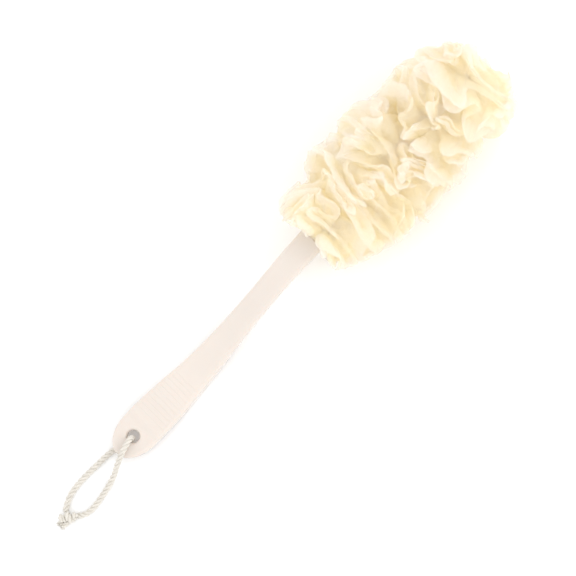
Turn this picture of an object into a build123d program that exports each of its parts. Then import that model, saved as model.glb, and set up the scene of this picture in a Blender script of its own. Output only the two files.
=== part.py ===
from build123d import *
import math
import os

os.makedirs("parts", exist_ok=True)

# A long handled back scrubber with a head of netting, lying on a table.
# X runs along the stick, from the end of the handle at -X to the tip of the head at +X.
# Z is up from the table, which is z = 0. The origin is under the middle of the stick.

# ---------------------------------------------------------------- driving sizes

stick_length = 380.0

# The handle's stations are distances from its end.
grip_half_width = 15.3
end_round_length = 23.0
waist_station = 150.0
waist_half_width = 8.9
neck_station = 205.0
neck_half_width = 9.6
side_margin = 5.0

# The handle's side view. Its end is a thin flat pad, the grip is thicker and slopes a little,
# its belly rests on the table, and the neck rises to the height of the stem.
end_underside = 5.4
end_thickness = 6.4
end_flat_length = 25.0
shoulder_rise = 1.2
shoulder_length = 6.0
grip_slope = 0.03
belly_station = 72.0
neck_thickness = 8.4
neck_slope = 0.12
edge_radius = 2.6

hole_station = 17.0
hole_radius = 4.6
hole_lip_radius = 2.0

ridge_start = 35.0
ridge_pitch = 3.6
ridge_count = 11
ridge_cut_radius = 2.0
ridge_depth = 0.15

stem_height = 42.0
stem_radius = 4.0
stem_end_station = 368.0
stem_root = 2.0
button_radius = 8.0
button_thickness = 3.0
button_rim_radius = 1.2

groove_radius = 2.9
groove_width = 3.4
string_radius = 0.9
string_gap = 0.05
string_knot_radius = 1.5
string_knot_lift = 0.7

# Each bundle of netting ends where the next one starts. The last one closes over the stem's end.
head_start = 200.0
bundle_widths = (33.0, 33.0, 36.0, 37.0, 41.0)
bundle_radii = (39.5, 45.0, 47.5, 43.5, 43.5)
bundle_crown = 0.40
bundle_gap = 0.4
netting_gap = 0.2

cord_diameter = 4.2
cord_radius = cord_diameter / 2
lip_clearance = 2.2
knot_length = 14.5
knot_width = 8.2
tail_length = 7.0

# ---------------------------------------------------------------- places worked out from them

end_x = -stick_length / 2
neck_x = end_x + neck_station
hole_x = end_x + hole_station
stem_end_x = end_x + stem_end_station
button_x = stem_end_x - button_thickness
end_top = end_underside + end_thickness
shoulder_station = end_flat_length + shoulder_length
neck_top = stem_height + neck_thickness / 2
neck_underside = stem_height - neck_thickness / 2
stem_axis = Axis((0, 0, stem_height), (1, 0, 0))
string_ring_radius = groove_radius + string_gap + string_radius
string_knot_reach = string_ring_radius + string_knot_lift

bundle_edges = [end_x + head_start]
for width in bundle_widths:
    bundle_edges.append(bundle_edges[-1] + width)
bundle_middles = [(low + high) / 2 for low, high in zip(bundle_edges, bundle_edges[1:])]


def station(distance, across):
    """A point of a handle sketch, at a distance from the handle's end."""
    return (end_x + distance, across)


def grip_top(distance):
    """The height of the straight top of the grip."""
    return end_top + shoulder_rise - grip_slope * (distance - shoulder_station)


# ---------------------------------------------------------------- handle

# The handle is its top view and its side view crossed, with all its long edges rounded.
with BuildPart() as handle:
    with BuildSketch(Plane.XY):
        with BuildLine():
            EllipticalCenterArc(
                station(end_round_length, 0), end_round_length, grip_half_width, start_angle=90, arc_size=90
            )
            Spline(
                station(end_round_length, grip_half_width),
                station(42, 15.0),
                station(72, 12.6),
                station(105, 10.2),
                station(waist_station, waist_half_width),
                station(neck_station, neck_half_width),
                tangents=((1, 0), (1, 0.01)),
            )
            mirror(about=Plane.XZ)
            Line(station(neck_station, neck_half_width), station(neck_station, -neck_half_width))
        make_face()
    extrude(amount=neck_top + side_margin)

    with BuildSketch(Plane.XZ):
        with BuildLine():
            Line(station(0, end_top), station(end_flat_length, end_top))
            Spline(
                station(end_flat_length, end_top),
                station(shoulder_station, grip_top(shoulder_station)),
                tangents=((1, 0), (1, -grip_slope)),
            )
            Line(
                station(shoulder_station, grip_top(shoulder_station)),
                station(belly_station, grip_top(belly_station)),
            )
            Spline(
                station(belly_station, grip_top(belly_station)),
                station(105, 16.9),
                station(waist_station, 32.6),
                station(neck_station, neck_top),
                tangents=((1, -grip_slope), (1, neck_slope)),
            )
            Line(station(neck_station, neck_top), station(neck_station, neck_underside))
            Spline(
                station(neck_station, neck_underside),
                station(waist_station, 23.4),
                station(105, 6.6),
                station(belly_station, 0),
                tangents=((-1, -neck_slope), (-1, 0)),
            )
            Spline(
                station(belly_station, 0),
                station(48, 1.9),
                station(end_flat_length, end_underside),
                tangents=((-1, 0), (-1, 0)),
            )
            Line(station(end_flat_length, end_underside), station(0, end_underside))
            Line(station(0, end_underside), station(0, end_top))
        make_face()
    extrude(amount=grip_half_width + side_margin, both=True, mode=Mode.INTERSECT)

    long_edges = handle.edges().filter_by(lambda edge: edge.length > 2 * edge_radius)
    fillet(long_edges.filter_by(lambda edge: edge.center().X < neck_x - 1), radius=edge_radius)

    with Locations((hole_x, 0, end_top)):
        Hole(radius=hole_radius)
    hole_rims = handle.edges().filter_by(GeomType.CIRCLE)
    fillet(hole_rims.filter_by(lambda edge: abs(edge.radius - hole_radius) < 0.01), radius=hole_lip_radius)

    # A row of shallow grooves across the top of the grip. They fade out at the rounded edges.
    for index in range(ridge_count):
        ridge_station = ridge_start + index * ridge_pitch
        cutter_height = grip_top(ridge_station) + ridge_cut_radius - ridge_depth
        with BuildSketch(Plane.XZ):
            with Locations(station(ridge_station, cutter_height)):
                Circle(ridge_cut_radius)
        extrude(amount=grip_half_width + side_margin, both=True, mode=Mode.SUBTRACT)

    # The stem inside the head: a round rod, a groove for each tie and a button at the end.
    with BuildSketch(Plane.YZ.offset(neck_x - stem_root)):
        with Locations((0, stem_height)):
            Circle(stem_radius)
    extrude(amount=stem_end_x - neck_x + stem_root)
    for middle in bundle_middles:
        with BuildSketch(Plane.YZ.offset(middle - groove_width / 2)):
            with Locations((0, stem_height)):
                Circle(stem_radius)
                Circle(groove_radius, mode=Mode.SUBTRACT)
        extrude(amount=groove_width, mode=Mode.SUBTRACT)
    with BuildSketch(Plane.YZ.offset(button_x)):
        with Locations((0, stem_height)):
            Circle(button_radius)
    extrude(amount=button_thickness)
    round_edges = handle.edges().filter_by(GeomType.CIRCLE)
    fillet(round_edges.filter_by(lambda edge: abs(edge.radius - button_radius) < 0.01), radius=button_rim_radius)

handle.part.label = "handle"
export_step(handle.part, "parts/handle.step")

# ---------------------------------------------------------------- tie strings

# Each tie is a ring of string in its groove, with a small knot on top.
for index, middle in enumerate(bundle_middles, start=1):
    with BuildPart() as tie_cord:
        with BuildSketch(Plane.XZ):
            with Locations((middle, stem_height + string_ring_radius)):
                Circle(string_radius)
        revolve(axis=stem_axis)
        with Locations((middle, 0, stem_height + string_knot_reach)):
            Sphere(string_knot_radius)
    tie_cord.part.label = f"tie_cord_{index}"
    export_step(tie_cord.part, f"parts/tie_cord_{index}.step")

# ---------------------------------------------------------------- netting bundles

# The room that the netting leaves round the stem, as rounds of (start, end, radius):
# the end of the neck, the rod, the button and each tied string.
rooms = [
    (bundle_edges[0] - 1, neck_x + netting_gap, neck_half_width + 3 * netting_gap),
    (neck_x, stem_end_x, stem_radius + netting_gap),
    (button_x - netting_gap, stem_end_x + netting_gap, button_radius + netting_gap),
]
for middle in bundle_middles:
    half_room = string_knot_radius + netting_gap
    rooms.append((middle - half_room, middle + half_room, string_knot_reach + half_room))

with BuildPart() as stem_room:
    for low_x, high_x, radius in rooms:
        with BuildSketch(Plane.YZ.offset(low_x)):
            with Locations((0, stem_height)):
                Circle(radius)
        extrude(amount=high_x - low_x)

# Each bundle is a crowned ring, flat where it rests on the table.
for index, radius in enumerate(bundle_radii, start=1):
    low_x = bundle_edges[index - 1]
    high_x = bundle_edges[index] - (bundle_gap if index < len(bundle_radii) else 0)
    with BuildPart() as mesh_bundle:
        with BuildSketch(Plane.XZ) as half_section:
            with Locations((low_x, stem_height)):
                Rectangle(high_x - low_x, radius, align=(Align.MIN, Align.MIN))
            fillet(half_section.vertices().group_by(Axis.Y)[-1], radius=bundle_crown * (high_x - low_x))
        revolve(axis=stem_axis)
        add(stem_room.part, mode=Mode.SUBTRACT)
        split(bisect_by=Plane.XY, keep=Keep.TOP)
    mesh_bundle.part.label = f"mesh_bundle_{index}"
    export_step(mesh_bundle.part, f"parts/mesh_bundle_{index}.step")

# ---------------------------------------------------------------- hanging cord

# The cord's route, from the knot along the table, under the paddle, up through the hole, over the
# end of the handle, and back along the table to the knot.
on_table = cord_radius
over_lip = end_top + cord_radius + lip_clearance
cord_route = [
    (-246.5, -1.4, on_table),
    (-240.0, 3.2, on_table),
    (-231.5, 5.6, on_table),
    (-220.0, 6.4, on_table),
    (-207.0, 5.9, on_table),
    (-194.5, 5.6, on_table),
    (-184.0, 3.4, on_table),
    (-174.6, 0.2, on_table),
    (-174.6, -0.2, over_lip),
    (-185.5, -3.2, over_lip + 0.3),
    (-195.0, -6.4, over_lip - 3.0),
    (-202.5, -9.0, over_lip - 9.4),
    (-211.0, -10.8, on_table + 0.6),
    (-222.0, -13.0, on_table),
    (-232.0, -14.2, on_table),
    (-239.0, -12.6, on_table),
    (-243.5, -8.4, on_table),
]


def arc_radii(route):
    """The largest arc that each inner corner of a route has room for."""
    radii = []
    for before, corner, after in zip(route, route[1:], route[2:]):
        run_in = Vector(*corner) - Vector(*before)
        run_out = Vector(*after) - Vector(*corner)
        half_turn = math.radians(run_in.get_angle(run_out)) / 2
        radii.append(0.45 * min(run_in.length, run_out.length) / math.tan(half_turn))
    return radii


cord_radii = arc_radii(cord_route)
first_run = Vector(*cord_route[1]) - Vector(*cord_route[0])
with BuildPart() as hanging_cord:
    with BuildLine() as cord_line:
        FilletPolyline(*cord_route, radius=cord_radii)
    with BuildSketch(Plane(origin=cord_route[0], z_dir=first_run)):
        Circle(cord_radius)
    sweep(path=cord_line.wires()[0])
hanging_cord.part.label = "hanging_cord"
export_step(hanging_cord.part, "parts/hanging_cord.step")

cord_length = cord_line.wires()[0].length
section_times_length = math.pi * cord_radius**2 * cord_length
print("cord length", round(cord_length, 1))
print("cord arc radii", [round(radius, 1) for radius in cord_radii])
print("cord volume over section times length", round(hanging_cord.part.volume / section_times_length, 4))

# The overhand knot that closes the loop, lying across the loop's end.
knot_centre = Vector(-247.2, -6.2, knot_width / 2)
knot_direction = Vector(0.7, -0.72, 0)
with BuildPart() as hanging_cord_knot:
    with BuildSketch(Plane(origin=knot_centre, x_dir=knot_direction, z_dir=(0, 0, 1))):
        Ellipse(knot_length / 2, knot_width / 2)
        Rectangle(knot_length, knot_width, align=(Align.CENTER, Align.MAX), mode=Mode.SUBTRACT)
    revolve(axis=Axis(knot_centre, knot_direction))
hanging_cord_knot.part.label = "hanging_cord_knot"
export_step(hanging_cord_knot.part, "parts/hanging_cord_knot.step")

# The two cut ends of the cord, which stick out of the knot.
cut_ends = (
    (Vector(-250.0, -2.7, on_table), Vector(-1, 0, 0)),
    (Vector(-250.2, -7.2, on_table), Vector(-1, -0.05, 0)),
)
with BuildPart() as hanging_cord_ends:
    for start, direction in cut_ends:
        with BuildSketch(Plane(origin=start, z_dir=direction)):
            Circle(cord_radius)
        extrude(amount=tail_length)
hanging_cord_ends.part.label = "hanging_cord_ends"
export_step(hanging_cord_ends.part, "parts/hanging_cord_ends.step")
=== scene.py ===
import math

import bpy
import numpy as np
from mathutils import Matrix, Vector


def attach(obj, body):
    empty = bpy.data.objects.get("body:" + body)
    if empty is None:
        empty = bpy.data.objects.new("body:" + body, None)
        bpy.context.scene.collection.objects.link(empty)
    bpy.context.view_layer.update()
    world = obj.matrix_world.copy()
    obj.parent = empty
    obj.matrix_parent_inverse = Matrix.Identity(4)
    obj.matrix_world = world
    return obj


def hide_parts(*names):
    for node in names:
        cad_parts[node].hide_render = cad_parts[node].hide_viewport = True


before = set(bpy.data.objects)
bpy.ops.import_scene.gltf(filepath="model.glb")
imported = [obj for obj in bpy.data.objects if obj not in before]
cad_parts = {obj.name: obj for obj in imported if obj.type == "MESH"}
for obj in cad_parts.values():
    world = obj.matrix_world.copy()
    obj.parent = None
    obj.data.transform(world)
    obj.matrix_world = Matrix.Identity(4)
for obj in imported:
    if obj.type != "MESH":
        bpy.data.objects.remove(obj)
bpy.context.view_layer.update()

MM = 0.001
TAU = 2 * math.pi


# ---------------------------------------------------------------- camera

# The stick points up and to the right of the picture. The camera looks down at it through a long
# lens, a little from the -Y side.
STICK_ANGLE = math.radians(45.9)
LEAN_ANGLE = math.radians(10.5)
VIEW_DISTANCE = 1.35
VIEW_WIDTH = 0.406
AIM = Vector((-0.0208, -0.0075, 0.020))
SENSOR = 36.0


def make_camera():
    forward = Vector((0, math.sin(LEAN_ANGLE), -math.cos(LEAN_ANGLE)))
    along = Vector((1, 0, 0))
    across = Vector((0, math.cos(LEAN_ANGLE), math.sin(LEAN_ANGLE)))
    right = math.cos(STICK_ANGLE) * along - math.sin(STICK_ANGLE) * across
    up = math.sin(STICK_ANGLE) * along + math.cos(STICK_ANGLE) * across
    data = bpy.data.cameras.new("camera")
    data.sensor_width = SENSOR
    data.lens = SENSOR * VIEW_DISTANCE / VIEW_WIDTH
    data.clip_start = 0.05
    data.clip_end = 20
    camera = bpy.data.objects.new("camera", data)
    place = Matrix((right, up, -forward)).transposed().to_4x4()
    place.translation = AIM - VIEW_DISTANCE * forward
    camera.matrix_world = place
    bpy.context.collection.objects.link(camera)
    bpy.context.scene.camera = camera


make_camera()


# ---------------------------------------------------------------- small helpers

def new_object(name, points, faces, smooth=True):
    """A mesh object from points in metres and faces of point numbers."""
    mesh = bpy.data.meshes.new(name)
    mesh.from_pydata([tuple(p) for p in points], [], [tuple(int(i) for i in f) for f in faces])
    mesh.validate()
    mesh.update()
    if smooth:
        mesh.polygons.foreach_set("use_smooth", [True] * len(mesh.polygons))
    obj = bpy.data.objects.new(name, mesh)
    bpy.context.collection.objects.link(obj)
    return obj


def grid_faces(rows, columns, close_rows=False, close_columns=False):
    """Quads of a grid of points stored row by row."""
    row_count = rows if close_rows else rows - 1
    column_count = columns if close_columns else columns - 1
    i, j = np.meshgrid(np.arange(row_count), np.arange(column_count), indexing="ij")
    i2, j2 = (i + 1) % rows, (j + 1) % columns
    quads = np.stack([i * columns + j, i * columns + j2, i2 * columns + j2, i2 * columns + j], axis=-1)
    return quads.reshape(-1, 4)


# ---------------------------------------------------------------- hanging cord

CORD_DIAMETER = 0.0042
CORD_RADIUS = CORD_DIAMETER / 2
# Heights of the cord's middle in millimetres, where it lies on the table and over the handle's end.
ON_TABLE = 2.1
OVER_LIP = 16.1

# The cord's route in millimetres: from the knot along the table, under the paddle, up through the
# hole, over the end of the handle, and back along the table to the knot.
CORD_ROUTE = [
    (-246.5, -1.4, ON_TABLE),
    (-240.0, 3.2, ON_TABLE),
    (-231.5, 5.6, ON_TABLE),
    (-220.0, 6.4, ON_TABLE),
    (-207.0, 5.9, ON_TABLE),
    (-194.5, 5.6, ON_TABLE),
    (-184.0, 3.4, ON_TABLE),
    (-174.6, 0.2, ON_TABLE),
    (-174.6, -0.2, OVER_LIP),
    (-185.5, -3.2, OVER_LIP + 0.3),
    (-195.0, -6.4, OVER_LIP - 3.0),
    (-202.5, -9.0, OVER_LIP - 9.4),
    (-211.0, -10.8, ON_TABLE + 0.6),
    (-222.0, -13.0, ON_TABLE),
    (-232.0, -14.2, ON_TABLE),
    (-239.0, -12.6, ON_TABLE),
    (-243.5, -8.4, ON_TABLE),
]


LINE_RESOLUTION = 24


def smooth_line(name, route):
    """Points of the smooth NURBS line whose control points are the route."""
    curve = bpy.data.curves.new(name, "CURVE")
    curve.dimensions = "3D"
    spline = curve.splines.new("NURBS")
    spline.points.add(len(route) - 1)
    for point, place in zip(spline.points, route):
        point.co = (*[MM * c for c in place], 1)
    spline.order_u = 3
    spline.use_endpoint_u = True
    spline.resolution_u = LINE_RESOLUTION
    holder = bpy.data.objects.new(name, curve)
    mesh = bpy.data.meshes.new_from_object(holder)
    points = np.array([v.co[:] for v in mesh.vertices])
    bpy.data.objects.remove(holder)
    bpy.data.meshes.remove(mesh)
    bpy.data.curves.remove(curve)
    return points


def resampled(points, step):
    """The same line with its points evenly spaced, and how far along it each point is."""
    gaps = np.linalg.norm(np.diff(points, axis=0), axis=1)
    along = np.concatenate([[0], np.cumsum(gaps)])
    count = max(2, int(round(along[-1] / step)) + 1)
    at = np.linspace(0, along[-1], count)
    places = [np.interp(at, along, points[:, axis]) for axis in range(3)]
    return np.stack(places, axis=1), at


def carried_frames(points):
    """Two directions square to a line at each of its points, carried along it without twisting."""
    tangents = np.gradient(points, axis=0)
    tangents /= np.linalg.norm(tangents, axis=1)[:, None]
    side = np.cross(tangents[0], (0.0, 0.0, 1.0))
    if np.linalg.norm(side) < 0.1:
        side = np.cross(tangents[0], (0.0, 1.0, 0.0))
    sides = []
    for tangent in tangents:
        side = side - tangent * np.dot(side, tangent)
        side = side / np.linalg.norm(side)
        sides.append(side)
    sides = np.array(sides)
    return sides, np.cross(tangents, sides)


STRANDS = 3
# The length of cord in which a strand goes once round, in metres.
STRAND_LAY = 0.0115
STRAND_SIDES = 14
# The radius of the circle that fits three strands in a rope of radius 1, and how much fatter each
# one is so that they press on each other.
STRAND_SHARE = 0.464
STRAND_FAT = 1.12
# Distances between the rings of points along a rope.
LONG_STEP = 0.0006
SHORT_STEP = 0.0005


def rope_points(line, at, radius, phase=0.0):
    """Points and faces of a rope of three twisted strands along a line."""
    side, rise = carried_frames(line)
    strand_radius = STRAND_SHARE * radius
    orbit = radius - strand_radius
    fat = STRAND_FAT * strand_radius
    points, faces = [], []
    around = np.linspace(0, TAU, STRAND_SIDES, endpoint=False)[:, None]
    for strand in range(STRANDS):
        turn = (phase + TAU * (at / STRAND_LAY + strand / STRANDS))[:, None]
        out = np.cos(turn) * side + np.sin(turn) * rise
        over = np.cos(turn) * rise - np.sin(turn) * side
        centre = (line + orbit * out)[:, None]
        ring = centre + fat * (np.cos(around) * out[:, None] + np.sin(around) * over[:, None])
        points.append(ring.reshape(-1, 3))
        start = strand * len(line) * STRAND_SIDES
        last = start + (len(line) - 1) * STRAND_SIDES
        faces.extend((grid_faces(len(line), STRAND_SIDES, close_columns=True) + start).tolist())
        faces.append([start + k for k in range(STRAND_SIDES)][::-1])
        faces.append([last + k for k in range(STRAND_SIDES)])
    return np.concatenate(points), faces


def make_cord():
    line, at = resampled(smooth_line("cord_line", CORD_ROUTE), LONG_STEP)
    points, faces = rope_points(line, at, CORD_RADIUS)
    cord = new_object("hanging_cord_rope", points, faces)
    return cord, line, at


cord, cord_line, cord_at = make_cord()

# The overhand knot lies across the loop's end. Pulled tight, it shows as turns of cord round both
# legs. The middle, half length and radii are in millimetres.
KNOT_CENTRE = (-247.2, -6.2, 4.5)
KNOT_RUN = (0.697, -0.717, 0.0)
KNOT_HALF = 5.6
KNOT_TURNS = 2.1
KNOT_START = 0.9
KNOT_REACH = 2.2
KNOT_CORD_RADIUS = 2.2
LEG_RADIUS = 1.9
COIL_POINTS = 220
CORE_POINTS = 40

# The two cut ends beyond the knot, from where they leave it to where they were cut.
CUT_ENDS = [
    [(-248.5, -4.6, 3.0), (-250.5, -4.0, 2.3), (-253.0, -3.8, 1.9), (-255.6, -4.4, 1.9)],
    [(-248.9, -7.4, 3.0), (-250.9, -7.7, 2.3), (-253.2, -7.6, 1.9), (-255.4, -7.2, 1.9)],
]
CUT_PHASE = 1.3
CUT_SEED = 31
# Loose fibres at each cut end, in millimetres.
FIBRES = 46
FIBRE_POINTS = 5
FIBRE_SIDES = 4
FIBRE_RADIUS = 0.16
FIBRE_SHORTEST, FIBRE_LONGEST = 0.9, 2.4
FIBRE_SPREAD = 0.8
FIBRE_ROOT = 0.4
FIBRE_BEND = 0.3
FIBRE_STRAY = 0.15
FIBRE_DROOP = 0.25
FIBRE_THINNING = 0.75
FIBRE_LOWEST = 0.15


def joined(name, parts):
    """One mesh object from several (points, faces)."""
    points, faces, start = [], [], 0
    for part_points, part_faces in parts:
        points.append(np.asarray(part_points))
        faces.extend([[start + i for i in face] for face in part_faces])
        start += len(part_points)
    return new_object(name, np.concatenate(points), faces)


def thin_fibre(start, run, length, rng):
    """One loose cotton fibre that bends and tapers."""
    share = np.linspace(0, 1, FIBRE_POINTS)[:, None]
    bend = rng.normal(size=3) * FIBRE_BEND - np.array([0, 0, FIBRE_DROOP])
    line = start + run * length * share + bend * length * share ** 2
    line[:, 2] = np.maximum(line[:, 2], FIBRE_LOWEST * MM)
    side, rise = carried_frames(line)
    around = np.linspace(0, TAU, FIBRE_SIDES, endpoint=False)[:, None]
    thin = (FIBRE_RADIUS * MM * (1 - FIBRE_THINNING * share))[:, None]
    ring = line[:, None] + thin * (np.cos(around) * side[:, None] + np.sin(around) * rise[:, None])
    faces = grid_faces(FIBRE_POINTS, FIBRE_SIDES, close_columns=True).tolist()
    first = list(range(FIBRE_SIDES))
    last = [(FIBRE_POINTS - 1) * FIBRE_SIDES + k for k in first]
    return ring.reshape(-1, 3), faces + [first[::-1], last]


def make_knot():
    """Turns of cord round the loop's two legs, which run through them."""
    centre, run = np.array(KNOT_CENTRE) * MM, np.array(KNOT_RUN)
    run = run / np.linalg.norm(run)
    side = np.cross((0.0, 0.0, 1.0), run)
    share = np.linspace(0, 1, COIL_POINTS)
    turn = TAU * KNOT_TURNS * share + KNOT_START
    # The turns draw in at the coil's two ends.
    reach = KNOT_REACH * MM * np.sin(math.pi * (0.06 + 0.88 * share)) ** 0.4
    along = KNOT_HALF * MM * (2 * share - 1)
    coil = (centre + along[:, None] * run + (reach * np.cos(turn))[:, None] * side
            + (reach * np.sin(turn))[:, None] * np.array([0, 0, 1.0]))
    inside = centre + np.linspace(-KNOT_HALF, KNOT_HALF, CORE_POINTS)[:, None] * MM * run
    parts = []
    for line, radius in ((coil, KNOT_CORD_RADIUS), (inside, LEG_RADIUS)):
        line, at = resampled(line, SHORT_STEP)
        parts.append(rope_points(line, at, radius * MM))
    return joined("hanging_cord_knot_turns", parts)


def make_cut_ends():
    """The two ends of the cord beyond the knot, each frayed where it was cut."""
    rng = np.random.default_rng(CUT_SEED)
    parts = []
    for index, route in enumerate(CUT_ENDS):
        line, at = resampled(smooth_line("cut_end", route), SHORT_STEP)
        parts.append(rope_points(line, at, LEG_RADIUS * MM, phase=CUT_PHASE * index))
        run = line[-1] - line[-3]
        run /= np.linalg.norm(run)
        for _ in range(FIBRES):
            spot = rng.normal(size=3) * FIBRE_SPREAD * MM
            spot -= run * spot.dot(run)
            splay = spot / (2 * FIBRE_SPREAD * MM) * rng.uniform(0.2, 0.8)
            out = run + splay + rng.normal(size=3) * FIBRE_STRAY
            start = line[-1] + spot - run * FIBRE_ROOT * MM
            start[2] = max(start[2], 2 * FIBRE_LOWEST * MM)
            length = rng.uniform(FIBRE_SHORTEST, FIBRE_LONGEST) * MM
            parts.append(thin_fibre(start, out / np.linalg.norm(out), length, rng))
    return joined("hanging_cord_cut_ends", parts)


knot = make_knot()
cut_ends = make_cut_ends()
cord_pieces = {"hanging_cord": cord, "hanging_cord_knot": knot, "hanging_cord_ends": cut_ends}
for node, piece in cord_pieces.items():
    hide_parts(node)
    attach(piece, "hanging_loop")


# ---------------------------------------------------------------- netting

# The head's local places are in millimetres, from the point of the stem's axis where the head starts.
HEAD_START = 0.010
STEM_HEIGHT = 0.042
WAVE_COUNT = 14


def from_head(flat):
    """The head's local places, in metres in the row frame."""
    return flat * MM + np.array([HEAD_START, 0.0, STEM_HEIGHT])


def waves(points, wavelength, amplitude, rng):
    """A smooth random push of points, as a sum of plane waves of about one wavelength."""
    push = np.zeros_like(points)
    for _ in range(WAVE_COUNT):
        direction = rng.normal(size=3)
        direction /= np.linalg.norm(direction)
        number = TAU / (wavelength * rng.uniform(0.75, 1.35))
        swing = rng.normal(size=3)
        push += np.sin(points @ direction * number + rng.uniform(0, TAU))[:, None] * swing
    return push * amplitude / math.sqrt(WAVE_COUNT / 2)


# Taking a recent link this often makes the tree's branches long and winding.
WINDING = 0.55


def maze_loop(rows, columns, rng):
    """A single closed line that visits every point of a grid once.

    The columns go all the way round, and the rows are even in number. The line runs round a random
    tree that joins the blocks of two by two points.
    """
    block_rows, block_columns = rows // 2, columns // 2
    reached = {(0, 0)}
    edges = []
    links = []

    def offer(cell):
        r, c = cell
        for dr, dc in ((1, 0), (-1, 0), (0, 1), (0, -1)):
            if 0 <= r + dr < block_rows:
                links.append((cell, (r + dr, (c + dc) % block_columns), (dr, dc)))

    offer((0, 0))
    while links:
        pick = len(links) - 1 if rng.random() < WINDING else int(rng.integers(len(links)))
        cell, other, step = links.pop(pick)
        if other in reached:
            continue
        reached.add(other)
        edges.append((cell, step))
        offer(other)

    near = {(r, c): set() for r in range(rows) for c in range(columns)}

    def join(a, b, on=True):
        a = (a[0], a[1] % columns)
        b = (b[0], b[1] % columns)
        if on:
            near[a].add(b)
            near[b].add(a)
        else:
            near[a].discard(b)
            near[b].discard(a)

    for r in range(block_rows):
        for c in range(block_columns):
            a, b = (2 * r, 2 * c), (2 * r, 2 * c + 1)
            d, e = (2 * r + 1, 2 * c), (2 * r + 1, 2 * c + 1)
            join(a, b)
            join(b, e)
            join(e, d)
            join(d, a)
    for (r, c), (dr, dc) in edges:
        if dr:
            low = 2 * r + 1 if dr == 1 else 2 * r - 1
            join((low, 2 * c), (low, 2 * c + 1), False)
            join((low + 1, 2 * c), (low + 1, 2 * c + 1), False)
            join((low, 2 * c), (low + 1, 2 * c))
            join((low, 2 * c + 1), (low + 1, 2 * c + 1))
        else:
            left = 2 * c + 1 if dc == 1 else 2 * c - 1
            join((2 * r, left), (2 * r + 1, left), False)
            join((2 * r, left + 1), (2 * r + 1, left + 1), False)
            join((2 * r, left), (2 * r, left + 1))
            join((2 * r + 1, left), (2 * r + 1, left + 1))

    unrolled = [(0, 0)]
    came = None
    here = (0, 0)
    while True:
        nxt = sorted(n for n in near[here] if n != came)[0]
        dc = (nxt[1] - here[1] + columns // 2) % columns - columns // 2
        came, here = here, nxt
        if here == (0, 0):
            break
        unrolled.append((here[0], unrolled[-1][1] + dc))
    return np.array(unrolled, float)


def closed_bspline(points, per_step):
    """A smooth closed line near the points: a uniform cubic B-spline."""
    t = np.linspace(0, 1, per_step, endpoint=False)[:, None, None]
    p0, p1 = np.roll(points, 1, axis=0), points
    p2, p3 = np.roll(points, -1, axis=0), np.roll(points, -2, axis=0)
    line = ((1 - t) ** 3 * p0 + (3 * t**3 - 6 * t**2 + 4) * p1
            + (-3 * t**3 + 3 * t**2 + 3 * t + 1) * p2 + t**3 * p3) / 6
    return line.transpose(1, 0, 2).reshape(-1, points.shape[1])


def profile(outline, share):
    """The points (x, r) at shares of the way along an outline of (x, r) points."""
    outline = np.array(outline)
    gaps = np.linalg.norm(np.diff(outline, axis=0), axis=1)
    along = np.concatenate([[0], np.cumsum(gaps)]) / gaps.sum()
    return np.interp(share, along, outline[:, 0]), np.interp(share, along, outline[:, 1])


# One entry for each bundle: the outline (x, r) of its ruffled outside, the middle that it is tied at,
# and the number of rows of folds across that outline.
BUNDLES = [
    ([(12, 13), (7, 22), (7, 30), (12, 35), (21, 37), (31, 36), (37, 33)], 16.5, 8),
    ([(31, 33), (37, 38), (49, 41), (61, 40), (67, 36)], 49.5, 6),
    ([(64, 36), (71, 41), (84, 44), (97, 42), (103, 37)], 84.0, 6),
    ([(101, 36), (108, 39), (120, 40), (132, 39), (138, 36)], 120.5, 6),
    ([(136, 35), (143, 39), (155, 40), (166, 36), (172, 27), (174, 18), (172, 11)], 159.5, 8),
]
# The outline that the settled head keeps to on its +Y and -Y sides, as (x, r).
HEAD_PLUS = [
    (0, 24), (7, 32), (19, 36), (33, 35.5), (40, 42), (47, 46), (54, 44), (61, 40), (68, 45),
    (75, 49), (82, 50), (96, 46), (103, 41), (110, 38), (117, 41), (124, 43), (145, 43), (152, 40),
    (160, 35), (174, 25), (184, 16),
]
HEAD_MINUS = [
    (0, 24), (5, 30), (12, 34), (26, 40), (40, 46), (54, 49), (61, 51), (68, 50), (82, 49),
    (89, 46), (103, 47), (124, 44), (131, 43), (138, 45), (145, 48), (152, 47), (160, 45),
    (167, 42), (174, 37), (181, 20), (184, 14),
]
HEAD_LENGTH = 184.0

# The folds of a bundle are a maze of places round it, joined by one line.
COLUMNS = 32
PER_STEP = 3
BUNDLE_SEED = 100
CELL_JITTER = 0.14
# A cylinder as large as a bundle, which the random waves of its folds are drawn on.
RING_RADIUS, RING_LENGTH = 42, 50
FOLD_WAVE, ROUGH_WAVE, PUFF_WAVE = 40.0, 23.0, 22.0
ROUGHNESS = 0.13
# Rows of points up each side of a fold, and round its tip.
LAYER_ROWS = 8
TIP_ROWS = 3
CORE_RADIUS = 6.5
CORE_LENGTH = 0.14
# A fold's half thickness, as a share of the room that it has: flat, and added where it puffs out.
FLAT_FOLD, PUFFED_FOLD = 0.10, 0.12
FOLD_FOOT = 0.2
TIP_LENGTH = 1.4
# The folds lean over by this much at the head's outside, a patch of them together.
LEAN, LEAN_WAVE = 16.0, 56.0
LEAN_ALONG = 0.6
STEM_REACH, FREE_LENGTH = 7, 38
CRUMPLE, CRUMPLE_WAVE = 1.0, 15.0


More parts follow.
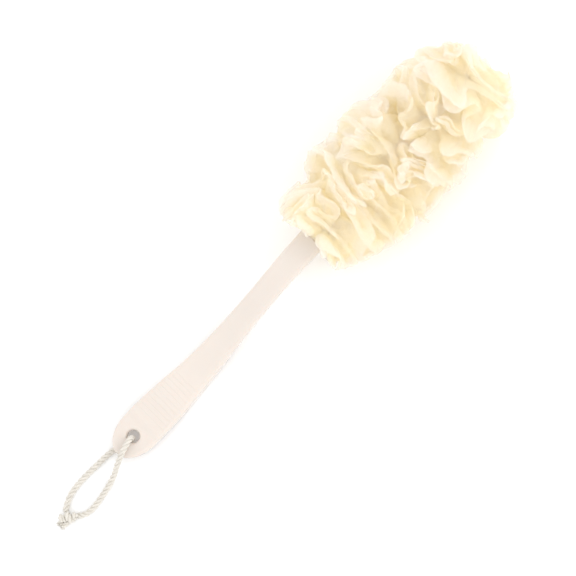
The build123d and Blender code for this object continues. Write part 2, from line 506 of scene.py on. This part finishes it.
def fold_section():
    """A fold from its foot up one side, round the tip and down: (in the tip, way up, way across)."""
    rise = np.linspace(0, 1, LAYER_ROWS)
    turn = np.linspace(math.pi / 2, 0, TIP_ROWS + 1)[1:-1]
    width = FOLD_FOOT + (1 - FOLD_FOOT) * rise
    section = [(0, up, side) for up, side in zip(rise, width)]
    section += [(1, math.cos(a), math.sin(a)) for a in turn]
    section += [(1, 1.0, 0.0)]
    section += [(1, math.cos(a), -math.sin(a)) for a in turn[::-1]]
    section += [(0, up, -side) for up, side in zip(rise[::-1], width[::-1])]
    return section


def bundle_shape(index, outline, middle, rows):
    """One bundle before it is settled: its points, and their rows across and places along the tube."""
    rng = np.random.default_rng(BUNDLE_SEED + index)
    cells = maze_loop(rows, COLUMNS, rng)
    cells += rng.normal(scale=CELL_JITTER, size=cells.shape)
    line = closed_bspline(cells, PER_STEP)
    share = (line[:, 0] + 0.5) / rows
    phi = TAU * (line[:, 1] + 0.5) / COLUMNS
    ring = np.stack([np.cos(phi) * RING_RADIUS, np.sin(phi) * RING_RADIUS, share * RING_LENGTH], axis=1)
    wander = waves(ring, FOLD_WAVE, 1.0, rng)
    share = np.clip(share + 0.03 * wander[:, 0], 0, 1)
    phi = phi + 0.05 * wander[:, 1]
    x, r = profile(outline, share)
    r = r * (1 + 0.04 * wander[:, 2] + ROUGHNESS * waves(ring, ROUGH_WAVE, 1.0, rng)[:, 0])
    outer = np.stack([x, r * np.cos(phi), r * np.sin(phi)], axis=1)
    core = np.stack([middle + CORE_LENGTH * (x - middle),
                     CORE_RADIUS * np.cos(phi), CORE_RADIUS * np.sin(phi)], axis=1)
    # The way out, the way along and the way across each fold.
    reach = outer - core
    length = np.linalg.norm(reach, axis=1)
    out = reach / length[:, None]
    along = np.roll(outer, -1, axis=0) - np.roll(outer, 1, axis=0)
    along -= out * (along * out).sum(1)[:, None]
    along /= np.linalg.norm(along, axis=1)[:, None]
    across = np.cross(out, along)
    room = TAU * np.maximum(r, 10) / COLUMNS
    puff = 0.5 + 0.5 * np.sin(waves(ring, PUFF_WAVE, 1.4, rng)[:, 1])
    half = room * (FLAT_FOLD + PUFFED_FOLD * puff)
    tip = half * TIP_LENGTH
    section = fold_section()
    stack = []
    for in_tip, way_up, side in section:
        up = length - tip + tip * way_up if in_tip else (length - tip) * way_up
        stack.append(core + out * up[:, None] + across * (half * side)[:, None])
    flat = np.concatenate(stack)
    # The folds lean and crumple more the further out they are.
    radial = flat * (0, 1, 1)
    radius = np.linalg.norm(radial, axis=1)[:, None]
    radial /= radius
    free = np.clip((radius - STEM_REACH) / FREE_LENGTH, 0, 1.2)
    lean = waves(flat, LEAN_WAVE, LEAN, rng)
    lean -= radial * (lean * radial).sum(1)[:, None]
    lean[:, 0] *= LEAN_ALONG
    flat = flat + lean * free ** 1.4
    flat = flat + waves(flat, CRUMPLE_WAVE, CRUMPLE, rng) * free
    return from_head(flat), len(section), len(line)


# The cloth is simulated this many times larger than it is, where its springs behave best.
SIM_SCALE = 20.0
SIM_FRAMES = 10
SIM_GROWTH = 0.22
SIM_PRESSURE = 0.5


def settle(shapes):
    """Lets all the bundles ruffle and press on each other, as one cloth held at the stem."""
    places = np.concatenate([place for place, _, _ in shapes])
    faces, pinned, start = [], [], 0
    for place, rows, count in shapes:
        faces.append(grid_faces(rows, count, close_rows=True, close_columns=True) + start)
        row = np.arange(rows * count) // count
        pinned.append((row <= 1) | (row >= rows - 2))
        start += rows * count
    cloth = new_object("settling", places * SIM_SCALE, np.concatenate(faces))
    group = cloth.vertex_groups.new(name="held")
    group.add([int(i) for i in np.nonzero(np.concatenate(pinned))[0]], 1.0, "REPLACE")
    modifier = cloth.modifiers.new("cloth", "CLOTH")
    springs = modifier.settings
    springs.quality = 3
    springs.mass = 0.15
    springs.air_damping = 2
    springs.tension_stiffness = 8
    springs.compression_stiffness = 8
    springs.shear_stiffness = 4
    springs.bending_stiffness = 0.5
    springs.vertex_group_mass = "held"
    springs.pin_stiffness = 1
    springs.shrink_min = -SIM_GROWTH
    springs.shrink_max = -SIM_GROWTH
    springs.use_pressure = True
    springs.uniform_pressure_force = SIM_PRESSURE
    springs.effector_weights.gravity = 0
    touch = modifier.collision_settings
    touch.use_collision = False
    touch.use_self_collision = True
    touch.self_distance_min = 0.012
    touch.self_friction = 2
    touch.collision_quality = 2
    modifier.point_cache.frame_end = SIM_FRAMES
    for step in range(1, SIM_FRAMES + 1):
        bpy.context.scene.frame_set(step)
    depsgraph = bpy.context.evaluated_depsgraph_get()
    settled = np.empty(len(places) * 3, np.float32)
    cloth.evaluated_get(depsgraph).data.vertices.foreach_get("co", settled)
    bpy.context.scene.frame_set(1)
    mesh = cloth.data
    bpy.data.objects.remove(cloth)
    bpy.data.meshes.remove(mesh)
    return settled.reshape(-1, 3).astype(float) / SIM_SCALE


def outline_at(x, side):
    """How far out the head reaches at x, towards a point (y, z) measured from the stem's middle."""
    plus, minus = (np.interp(x, *np.array(outline).T) for outline in (HEAD_PLUS, HEAD_MINUS))
    toward = 0.5 + 0.5 * side[:, 0] / np.maximum(np.linalg.norm(side, axis=1), 1e-6)
    return minus + (plus - minus) * toward


# Where one bundle ends and the next begins, from the head's start.
BORDERS = (8.0, 33.5, 66.0, 102.0, 138.5, 172.0)
FILLING_ROWS = 22
FILLING_COLUMNS = 72
FILLING_SEED = 200
# How far out and how far along the filling reaches, as shares of the outline and of its bundle.
FILLING_OUT, FILLING_ALONG = 0.89, 0.60
FILLING_CORE = 4.5


def filling(index):
    """The net bunched up inside a bundle, as rows along the stem by places round it."""
    rng = np.random.default_rng(FILLING_SEED + index)
    start, end = BORDERS[index - 1], BORDERS[index]
    run = np.linspace(-1, 1, FILLING_ROWS)
    around = np.linspace(0, TAU, FILLING_COLUMNS, endpoint=False)
    run, phi = (part.ravel() for part in np.meshgrid(run, around, indexing="ij"))
    way = np.sin(run * math.pi / 2)
    x = (start + end) / 2 + (end - start) * FILLING_ALONG * way
    unit = np.stack([np.cos(phi), np.sin(phi)], axis=1)
    round_off = np.sqrt(np.clip(1 - np.abs(way) ** 5, 0, 1))
    limit = FILLING_OUT * outline_at(np.clip(x, 4, HEAD_LENGTH - 8), unit)
    r = FILLING_CORE + (limit - FILLING_CORE) * round_off
    flat = np.stack([x, unit[:, 0] * r, unit[:, 1] * r], axis=1)
    soft = round_off[:, None]
    flat = flat + waves(flat, 20.0, 1.8, rng) * soft + waves(flat, 9.0, 0.7, rng) * soft
    return from_head(flat)


# What stands proud of the knee, as a share of the outline's reach, is pressed back towards the most.
KNEE, MOST = 0.66, 1.02
# The outline itself wanders by this share.
WANDER, WANDER_WAVE, WANDER_SEED = 0.03, 34.0, 5
# How softly the head's two ends press in, in millimetres.
END_GIVE = 9.0
# The lowest height that the cloth keeps to, and how softly it flattens there.
LOWEST, FLOOR_SOFTNESS = 0.0010, 0.0016


def keep_to_outline(place):
    """Presses places back to the head's outline, and flattens what would reach under the table.

    It returns the places, and how far out each one is as a share of the outline's reach.
    """
    wander = waves(place / MM, WANDER_WAVE, WANDER, np.random.default_rng(WANDER_SEED))[:, 0]
    flat = (place - np.array([HEAD_START, 0.0, STEM_HEIGHT])) / MM
    x, side = flat[:, 0], flat[:, 1:]
    start, end = END_GIVE, HEAD_LENGTH - END_GIVE
    x = np.where(x < start, start - END_GIVE * np.tanh((start - x) / END_GIVE), x)
    x = np.where(x > end, end + END_GIVE * np.tanh((x - end) / END_GIVE), x)
    share = np.linalg.norm(side, axis=1) / (outline_at(x, side) * (1 + wander))
    pressed = KNEE + (MOST - KNEE) * np.tanh((share - KNEE) / (MOST - KNEE))
    pressed = np.where(share > KNEE, pressed, share)
    side = side * (pressed / np.maximum(share, 1e-6))[:, None]
    place = from_head(np.column_stack([x, side]))
    above = (place[:, 2] - LOWEST) / FLOOR_SOFTNESS
    place[:, 2] = LOWEST + FLOOR_SOFTNESS * np.logaddexp(0, above)
    return place, pressed.astype(np.float32)


def flat_places(grid, close_rows):
    """The (u, v) in metres of every face corner of a grid: u along the cloth, v across it."""
    rows, count = grid.shape[:2]
    step = np.linalg.norm(np.roll(grid, -1, axis=1) - grid, axis=2).mean(axis=0)
    u = np.concatenate([[0], np.cumsum(step)])
    step = np.linalg.norm(np.roll(grid, -1, axis=0) - grid, axis=2).mean(axis=1)
    v = np.concatenate([[0], np.cumsum(step)])
    i, j = np.meshgrid(np.arange(rows if close_rows else rows - 1), np.arange(count), indexing="ij")
    corners = [(i, j), (i, j + 1), (i + 1, j + 1), (i + 1, j)]
    return np.stack([np.stack([u[b], v[a]], axis=-1) for a, b in corners], axis=2).reshape(-1)


# A point this far from the line between its neighbours, in metres, is a kink.
KINK = 0.0008
# Times that the whole cloth is eased, and then its kinks.
EASE_ALL, EASE_KINKS = 2, 20


def beside(grid, axes=(0, 1)):
    """The mean of each point's neighbours in a closed grid."""
    return sum(np.roll(grid, turn, axis=axis) for axis in axes for turn in (-1, 1)) / (2 * len(axes))


def soothed(grid):
    """The same closed cloth with its kinks eased, the sharpest ones the most."""
    share = np.ones(grid.shape[:2])
    for step in range(EASE_ALL + EASE_KINKS):
        if step >= EASE_ALL:
            bend = np.linalg.norm(beside(grid, axes=(1,)) - grid, axis=2)
            share = np.clip(bend / KINK - 1, 0, 1)
            share = np.minimum(share + 2 * beside(share), 1)
        grid = grid + 0.5 * share[..., None] * (beside(grid) - grid)
    return grid


# The fine pleats of the gathered cloth, in metres.
PLEAT_WIDTH = 0.006
PLEAT_LENGTH = 0.016
PLEAT_DEPTH = 0.0026


def make_bundle(index, settled, rows, count):
    """One bundle's piece: its settled folds, with the filling inside them."""
    folds, depth = keep_to_outline(settled)
    folds = soothed(folds.reshape(rows, count, 3))
    inner, inner_depth = keep_to_outline(filling(index))
    inner = inner.reshape(FILLING_ROWS, FILLING_COLUMNS, 3)
    points = np.concatenate([folds.reshape(-1, 3), inner.reshape(-1, 3)])
    faces = grid_faces(rows, count, close_rows=True, close_columns=True)
    inner_faces = grid_faces(FILLING_ROWS, FILLING_COLUMNS, close_columns=True) + rows * count
    piece = new_object(f"netting_{index}", points, np.concatenate([faces, inner_faces]))
    uv = np.concatenate([flat_places(folds, True), flat_places(inner, False)])
    cloth = piece.data.uv_layers.new(name="cloth")
    cloth.data.foreach_set("uv", uv.astype(np.float32))
    pleated = piece.data.uv_layers.new(name="pleats")
    wide = np.tile((1 / PLEAT_WIDTH, 1 / PLEAT_LENGTH), len(pleated.data))
    pleated.data.foreach_set("uv", (uv * wide).astype(np.float32))
    # How far out each point is, which the net's material turns into painted shade in the creases and
    # painted light on the outer folds.
    shade = piece.data.attributes.new("depth", "FLOAT", "POINT")
    shade.data.foreach_set("value", np.concatenate([depth, inner_depth]))
    return piece


def make_netting():
    pleats = bpy.data.textures.new("pleats", "CLOUDS")
    pleats.noise_scale = 1.0
    pleats.noise_depth = 1
    shapes = [bundle_shape(index, *bundle) for index, bundle in enumerate(BUNDLES, start=1)]
    settled = settle(shapes)
    pieces, start = [], 0
    for index, (place, rows, count) in enumerate(shapes, start=1):
        piece = make_bundle(index, settled[start:start + len(place)], rows, count)
        start += len(place)
        smooth = piece.modifiers.new("smooth", "SUBSURF")
        smooth.levels = 1
        smooth.render_levels = 1
        crumple = piece.modifiers.new("pleats", "DISPLACE")
        crumple.texture = pleats
        crumple.texture_coords = "UV"
        crumple.uv_layer = "pleats"
        crumple.mid_level = 0.5
        crumple.strength = PLEAT_DEPTH
        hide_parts(f"mesh_bundle_{index}")
        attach(piece, "scrubber")
        pieces.append(piece)
    return pieces


netting = make_netting()


# ---------------------------------------------------------------- materials

def new_material(name):
    material = bpy.data.materials.new(name)
    material.use_nodes = True
    nodes = material.node_tree.nodes
    links = material.node_tree.links
    nodes.clear()
    output = nodes.new("ShaderNodeOutputMaterial")
    return material, nodes, links, output


def floor_material():
    material, nodes, links, output = new_material("floor")
    shader = nodes.new("ShaderNodeBsdfPrincipled")
    shader.inputs["Base Color"].default_value = (0.9, 0.9, 0.9, 1)
    shader.inputs["Roughness"].default_value = 0.9
    links.new(shader.outputs[0], output.inputs["Surface"])
    return material


def math_node(nodes, links, operation, first, second=None):
    node = nodes.new("ShaderNodeMath")
    node.operation = operation
    for socket, value in zip(node.inputs, (first, second)):
        if value is None:
            continue
        if isinstance(value, (int, float)):
            socket.default_value = value
        else:
            links.new(value, socket)
    return node.outputs[0]


# The net's threads: how far apart and how wide they are in metres, and their slope across the cloth.
NET_PITCH = 0.00075
NET_THREAD = 0.00027
NET_SLANT = 0.6


def netting_material():
    """Soft plastic net: fine slanted threads with gaps between them, pleated where it is gathered."""
    material, nodes, links, output = new_material("netting")
    uv = nodes.new("ShaderNodeUVMap")
    uv.uv_map = "cloth"
    split = nodes.new("ShaderNodeSeparateXYZ")
    links.new(uv.outputs[0], split.inputs[0])
    along, across = split.outputs[0], split.outputs[1]
    # Threads slant both ways; a point is thread where it is near either set of lines.
    near = []
    for operation in ("ADD", "SUBTRACT"):
        slant = math_node(nodes, links, "MULTIPLY", across, NET_SLANT)
        line = math_node(nodes, links, operation, along, slant)
        near.append(math_node(nodes, links, "PINGPONG", line, NET_PITCH / 2))
    nearest = math_node(nodes, links, "MINIMUM", near[0], near[1])
    thread = math_node(nodes, links, "LESS_THAN", nearest, NET_THREAD / 2)

    # Pleats run out from the tie, so they are long across the cloth and close together along it.
    stretch = nodes.new("ShaderNodeMapping")
    stretch.inputs["Scale"].default_value = (420, 60, 1)
    links.new(uv.outputs[0], stretch.inputs["Vector"])
    pleats = nodes.new("ShaderNodeTexNoise")
    pleats.inputs["Scale"].default_value = 1.0
    pleats.inputs["Detail"].default_value = 3.0
    links.new(stretch.outputs[0], pleats.inputs["Vector"])
    bump = nodes.new("ShaderNodeBump")
    bump.inputs["Strength"].default_value = 0.3
    bump.inputs["Distance"].default_value = 0.0005
    links.new(pleats.outputs["Fac"], bump.inputs["Height"])

    # Painted shade and light over the net's own cream colour: cloth further in, where the creases are,
    # is painted yellower, and the outermost folds are painted whiter as if lit. This stands in for
    # deeper cloth being seen through more layers and looking yellower.
    depth = nodes.new("ShaderNodeAttribute")
    depth.attribute_name = "depth"
    painted_shade_ramp = nodes.new("ShaderNodeValToRGB")
    painted_shade_ramp.color_ramp.elements[0].position = 0.80
    painted_shade_ramp.color_ramp.elements[0].color = (0.993, 0.950, 0.80, 1)
    painted_shade_ramp.color_ramp.elements[1].position = 0.95
    painted_shade_ramp.color_ramp.elements[1].color = (0.985, 0.952, 0.90, 1)
    links.new(depth.outputs["Fac"], painted_shade_ramp.inputs[0])

    diffuse = nodes.new("ShaderNodeBsdfDiffuse")
    through = nodes.new("ShaderNodeBsdfTranslucent")
    for shader in (diffuse, through):
        links.new(painted_shade_ramp.outputs[0], shader.inputs["Color"])
        links.new(bump.outputs[0], shader.inputs["Normal"])
    body = nodes.new("ShaderNodeMixShader")
    body.inputs[0].default_value = 0.6
    links.new(diffuse.outputs[0], body.inputs[1])
    links.new(through.outputs[0], body.inputs[2])
    gloss = nodes.new("ShaderNodeBsdfGlossy")
    gloss.inputs["Roughness"].default_value = 0.45
    sheen = nodes.new("ShaderNodeMixShader")
    sheen.inputs[0].default_value = 0.04
    links.new(body.outputs[0], sheen.inputs[1])
    links.new(gloss.outputs[0], sheen.inputs[2])
    clear = nodes.new("ShaderNodeBsdfTransparent")
    cover = nodes.new("ShaderNodeMapRange")
    cover.inputs["To Min"].default_value = 0.2
    cover.inputs["To Max"].default_value = 0.58
    links.new(thread, cover.inputs["Value"])
    mix = nodes.new("ShaderNodeMixShader")
    links.new(cover.outputs[0], mix.inputs[0])
    links.new(clear.outputs[0], mix.inputs[1])
    links.new(sheen.outputs[0], mix.inputs[2])
    links.new(mix.outputs[0], output.inputs["Surface"])
    return material


def cotton_material(name, color, fuzz):
    """Twisted cotton: matt and a little fuzzy, with fine fibres and a faint unevenness of colour."""
    material, nodes, links, output = new_material(name)
    place = nodes.new("ShaderNodeTexCoord")
    uneven = nodes.new("ShaderNodeTexNoise")
    uneven.inputs["Scale"].default_value = 320.0
    uneven.inputs["Detail"].default_value = 3.0
    links.new(place.outputs["Object"], uneven.inputs["Vector"])
    tone = nodes.new("ShaderNodeValToRGB")
    tone.color_ramp.elements[0].position = 0.3
    tone.color_ramp.elements[0].color = (*[0.86 * c for c in color], 1)
    tone.color_ramp.elements[1].position = 0.7
    tone.color_ramp.elements[1].color = (*color, 1)
    links.new(uneven.outputs["Fac"], tone.inputs[0])
    fibres = nodes.new("ShaderNodeTexNoise")
    fibres.inputs["Scale"].default_value = 2600.0
    fibres.inputs["Detail"].default_value = 4.0
    links.new(place.outputs["Object"], fibres.inputs["Vector"])
    bump = nodes.new("ShaderNodeBump")
    bump.inputs["Strength"].default_value = 0.6
    bump.inputs["Distance"].default_value = fuzz
    links.new(fibres.outputs["Fac"], bump.inputs["Height"])
    shader = nodes.new("ShaderNodeBsdfPrincipled")
    shader.inputs["Roughness"].default_value = 0.92
    shader.inputs["Sheen Weight"].default_value = 0.25
    shader.inputs["Sheen Roughness"].default_value = 0.5
    shader.inputs["Specular IOR Level"].default_value = 0.2
    links.new(tone.outputs[0], shader.inputs["Base Color"])
    links.new(bump.outputs[0], shader.inputs["Normal"])
    links.new(shader.outputs[0], output.inputs["Surface"])
    return material


def plastic_material():
    """Glossy moulded plastic that lets a little light in, with a faint waviness from the mould."""
    material, nodes, links, output = new_material("handle_plastic")
    place = nodes.new("ShaderNodeTexCoord")
    cloudy = nodes.new("ShaderNodeTexNoise")
    cloudy.inputs["Scale"].default_value = 22.0
    cloudy.inputs["Detail"].default_value = 2.0
    links.new(place.outputs["Object"], cloudy.inputs["Vector"])
    tone = nodes.new("ShaderNodeValToRGB")
    tone.color_ramp.elements[0].position = 0.35
    tone.color_ramp.elements[0].color = (0.66, 0.597, 0.545, 1)
    tone.color_ramp.elements[1].position = 0.65
    tone.color_ramp.elements[1].color = (0.68, 0.615, 0.56, 1)
    links.new(cloudy.outputs["Fac"], tone.inputs[0])
    wavy = nodes.new("ShaderNodeTexNoise")
    wavy.inputs["Scale"].default_value = 160.0
    wavy.inputs["Detail"].default_value = 1.0
    links.new(place.outputs["Object"], wavy.inputs["Vector"])
    bump = nodes.new("ShaderNodeBump")
    bump.inputs["Strength"].default_value = 0.12
    bump.inputs["Distance"].default_value = 0.0004
    links.new(wavy.outputs["Fac"], bump.inputs["Height"])
    shader = nodes.new("ShaderNodeBsdfPrincipled")
    shader.inputs["Roughness"].default_value = 0.26
    shader.inputs["IOR"].default_value = 1.49
    shader.inputs["Subsurface Weight"].default_value = 0.25
    shader.inputs["Subsurface Radius"].default_value = (1.0, 0.7, 0.55)
    shader.inputs["Subsurface Scale"].default_value = 0.004
    links.new(tone.outputs[0], shader.inputs["Base Color"])
    links.new(bump.outputs[0], shader.inputs["Normal"])
    links.new(shader.outputs[0], output.inputs["Surface"])
    return material


def give(obj, material):
    obj.data.materials.clear()
    obj.data.materials.append(material)


net = netting_material()
for piece in netting:
    give(piece, net)
cotton = cotton_material("cotton_cord", (0.73, 0.695, 0.63), 0.0002)
for piece in cord_pieces.values():
    give(piece, cotton)
give(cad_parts["handle"], plastic_material())
string = cotton_material("tie_string", (0.78, 0.75, 0.70), 0.0001)
for index in range(1, len(BUNDLES) + 1):
    give(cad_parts[f"tie_cord_{index}"], string)

# ---------------------------------------------------------------- stage and light

FLOOR_REACH = 3
corners = [(x * FLOOR_REACH, y * FLOOR_REACH, 0) for x, y in ((-1, -1), (1, -1), (1, 1), (-1, 1))]
floor = new_object("floor", corners, [(0, 1, 2, 3)], smooth=False)
give(floor, floor_material())

world = bpy.data.worlds.new("world")
world.use_nodes = True
world.node_tree.nodes["Background"].inputs[0].default_value = (1, 1, 1, 1)
world.node_tree.nodes["Background"].inputs[1].default_value = 1.33
bpy.context.scene.world = world


def area_light(name, place, target, size, power):
    data = bpy.data.lights.new(name, "AREA")
    data.shape = "DISK"
    data.size = size
    data.energy = power
    light = bpy.data.objects.new(name, data)
    light.location = place
    light.rotation_mode = "QUATERNION"
    light.rotation_quaternion = (Vector(target) - Vector(place)).to_track_quat("-Z", "Y")
    bpy.context.collection.objects.link(light)


area_light("key", (0.9, -1.0, 1.3), (0.05, 0, 0.04), 0.7, 5)

scene = bpy.context.scene
scene.view_settings.view_transform = "Standard"
# Light has to pass through many layers of pale net.
LAYERS = 40
scene.cycles.transparent_max_bounces = 64
scene.cycles.diffuse_bounces = LAYERS
scene.cycles.transmission_bounces = LAYERS
scene.cycles.max_bounces = LAYERS
